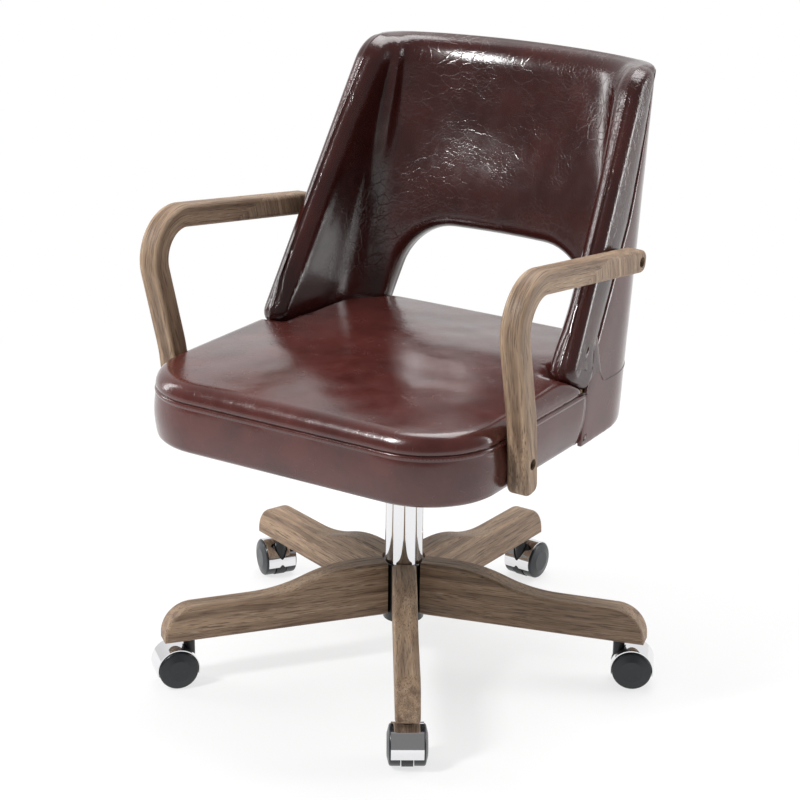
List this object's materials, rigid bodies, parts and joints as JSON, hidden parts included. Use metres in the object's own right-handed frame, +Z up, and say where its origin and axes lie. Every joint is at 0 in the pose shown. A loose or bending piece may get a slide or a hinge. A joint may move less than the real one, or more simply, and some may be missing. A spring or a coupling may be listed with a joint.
{
  "type": "bankers swivel chair",
  "caption": "Low-backed bankers swivel chair: padded seat and wrap-round back on bent wood arms, gas column and a wood star base on hooded twin-wheel casters.",
  "frame": {"origin": "on the floor under the column axis, with the seat at its lowest height", "axes": "+Z up along the column, the sitter faces -Y, +X is the sitter's left"},
  "size_m": [0.6542, 0.6323, 0.7708],
  "materials": {
    "oak": "grey-brown wire-brushed oak with pale limed grain, matt lacquer",
    "black_hub": "satin black paint",
    "black_steel": "blackened steel",
    "chrome_cover": "polished chrome",
    "chrome_hood": "polished chrome",
    "black_paint": "semi-matt black powder coat",
    "bright_steel": "bright zinc-plated steel",
    "black_plastic": "black moulded plastic",
    "wheel_nylon": "black moulded nylon, slightly glossy",
    "burgundy_leather": "glossy burgundy-brown faux leather with a fine crinkle",
    "panel_leather": "glossy burgundy-brown faux leather, drawn flat",
    "plywood": "bare birch plywood",
    "dust_cloth": "thin black non-woven cloth"
  },
  "bodies": {
    "base": {"hub": "black_hub", "base_arm_1": "oak", "base_arm_2": "oak", "base_arm_3": "oak", "base_arm_4": "oak", "base_arm_5": "oak", "hub_screws": "black_steel", "column_cover": "chrome_cover", "column_tube": "black_paint", "guide_bush": "black_plastic", "caster_sleeves": "black_steel"},
    "rod": {"piston_rod": "bright_steel", "thrust_bearing": "bright_steel", "rod_clip": "bright_steel"},
    "seat": {"gas_cylinder": "black_paint", "seat_plate": "black_paint", "seat_plate_bolts": "black_steel", "seat_board": "plywood", "seat_frame": "plywood", "seat_cushion": "burgundy_leather", "dust_cover": "dust_cloth", "back_shell": "plywood", "back_pad": "burgundy_leather", "back_panel": "panel_leather", "armrest_left": "oak", "armrest_right": "oak", "armrest_bolts": "black_steel", "armrest_spacers": "black_plastic", "back_screws": "black_steel", "lever_pin": "black_steel"},
    "lever": {"height_lever": "bright_steel", "lever_grip": "black_plastic"},
    "button": {"release_button": "bright_steel"},
    "caster_1": {"caster_1_housing": "black_plastic", "caster_1_hood": "chrome_hood", "caster_1_stem_and_axle": "bright_steel"},
    "caster_1_wheel_left": {"caster_1_wheel_left": "wheel_nylon"},
    "caster_1_wheel_right": {"caster_1_wheel_right": "wheel_nylon"},
    "caster_2": {"caster_2_housing": "black_plastic", "caster_2_hood": "chrome_hood", "caster_2_stem_and_axle": "bright_steel"},
    "caster_2_wheel_left": {"caster_2_wheel_left": "wheel_nylon"},
    "caster_2_wheel_right": {"caster_2_wheel_right": "wheel_nylon"},
    "caster_3": {"caster_3_housing": "black_plastic", "caster_3_hood": "chrome_hood", "caster_3_stem_and_axle": "bright_steel"},
    "caster_3_wheel_left": {"caster_3_wheel_left": "wheel_nylon"},
    "caster_3_wheel_right": {"caster_3_wheel_right": "wheel_nylon"},
    "caster_4": {"caster_4_housing": "black_plastic", "caster_4_hood": "chrome_hood", "caster_4_stem_and_axle": "bright_steel"},
    "caster_4_wheel_left": {"caster_4_wheel_left": "wheel_nylon"},
    "caster_4_wheel_right": {"caster_4_wheel_right": "wheel_nylon"},
    "caster_5": {"caster_5_housing": "black_plastic", "caster_5_hood": "chrome_hood", "caster_5_stem_and_axle": "bright_steel"},
    "caster_5_wheel_left": {"caster_5_wheel_left": "wheel_nylon"},
    "caster_5_wheel_right": {"caster_5_wheel_right": "wheel_nylon"}
  },
  "joints": [
    {"name": "seat_swivel", "type": "hinge", "parent": "base", "child": "rod", "pos_m": [0, 0, 0.06], "axis": [0, 0, 1], "continuous": true},
    {"name": "seat_lift", "type": "slide", "parent": "rod", "child": "seat", "axis": [0, 0, 1], "range_m": [0, 0.08]},
    {"name": "lever_raise", "type": "hinge", "parent": "seat", "child": "lever", "pos_m": [-0.042, 0, 0.315], "axis": [0, 1, 0], "range_deg": [0, 5], "stiffness_Nm_per_rad": 1, "springref_deg": -3.44},
    {"name": "button_press", "type": "slide", "parent": "seat", "child": "button", "axis": [0, 0, -1], "range_m": [0, 0.0042], "stiffness_N_per_m": 400, "springref_m": -0.002},
    {"name": "caster_1_swivel", "type": "hinge", "parent": "base", "child": "caster_1", "pos_m": [0.16074, -0.24378, 0.06], "axis": [0, 0, 1], "continuous": true},
    {"name": "caster_1_wheel_left_spin", "type": "hinge", "parent": "caster_1", "child": "caster_1_wheel_left", "pos_m": [0.17081, -0.25905, 0.0257], "axis": [0.8348, 0.5505, 0], "continuous": true},
    {"name": "caster_1_wheel_right_spin", "type": "hinge", "parent": "caster_1", "child": "caster_1_wheel_right", "pos_m": [0.17081, -0.25905, 0.0257], "axis": [0.8348, 0.5505, 0], "continuous": true},
    {"name": "caster_2_swivel", "type": "hinge", "parent": "base", "child": "caster_2", "pos_m": [0.28152, 0.07754, 0.06], "axis": [0, 0, 1], "continuous": true},
    {"name": "caster_2_wheel_left_spin", "type": "hinge", "parent": "caster_2", "child": "caster_2_wheel_left", "pos_m": [0.29809, 0.08531, 0.0257], "axis": [-0.4242, 0.9056, 0], "continuous": true},
    {"name": "caster_2_wheel_right_spin", "type": "hinge", "parent": "caster_2", "child": "caster_2_wheel_right", "pos_m": [0.29809, 0.08531, 0.0257], "axis": [-0.4242, 0.9056, 0], "continuous": true},
    {"name": "caster_3_swivel", "type": "hinge", "parent": "base", "child": "caster_3", "pos_m": [0.01325, 0.2917, 0.06], "axis": [0, 0, 1], "continuous": true},
    {"name": "caster_3_wheel_left_spin", "type": "hinge", "parent": "caster_3", "child": "caster_3_wheel_left", "pos_m": [0.01439, 0.30996, 0.0257], "axis": [-0.998, 0.0628, 0], "continuous": true},
    {"name": "caster_3_wheel_right_spin", "type": "hinge", "parent": "caster_3", "child": "caster_3_wheel_right", "pos_m": [0.01439, 0.30996, 0.0257], "axis": [-0.998, 0.0628, 0], "continuous": true},
    {"name": "caster_4_swivel", "type": "hinge", "parent": "base", "child": "caster_4", "pos_m": [-0.27333, 0.10274, 0.06], "axis": [0, 0, 1], "continuous": true},
    {"name": "caster_4_wheel_left_spin", "type": "hinge", "parent": "caster_4", "child": "caster_4_wheel_left", "pos_m": [-0.28828, 0.11329, 0.0257], "axis": [-0.5764, -0.8171, 0], "continuous": true},
    {"name": "caster_4_wheel_right_spin", "type": "hinge", "parent": "caster_4", "child": "caster_4_wheel_right", "pos_m": [-0.28828, 0.11329, 0.0257], "axis": [-0.5764, -0.8171, 0], "continuous": true},
    {"name": "caster_5_swivel", "type": "hinge", "parent": "base", "child": "caster_5", "pos_m": [-0.18217, -0.2282, 0.06], "axis": [0, 0, 1], "continuous": true},
    {"name": "caster_5_wheel_left_spin", "type": "hinge", "parent": "caster_5", "child": "caster_5_wheel_left", "pos_m": [-0.19384, -0.2423, 0.0257], "axis": [0.7705, -0.6374, 0], "continuous": true},
    {"name": "caster_5_wheel_right_spin", "type": "hinge", "parent": "caster_5", "child": "caster_5_wheel_right", "pos_m": [-0.19384, -0.2423, 0.0257], "axis": [0.7705, -0.6374, 0], "continuous": true}
  ],
  "couplings": [
    {"joint": "button_press", "follows": "lever_raise", "m_per_rad": 0.0435}
  ]
}
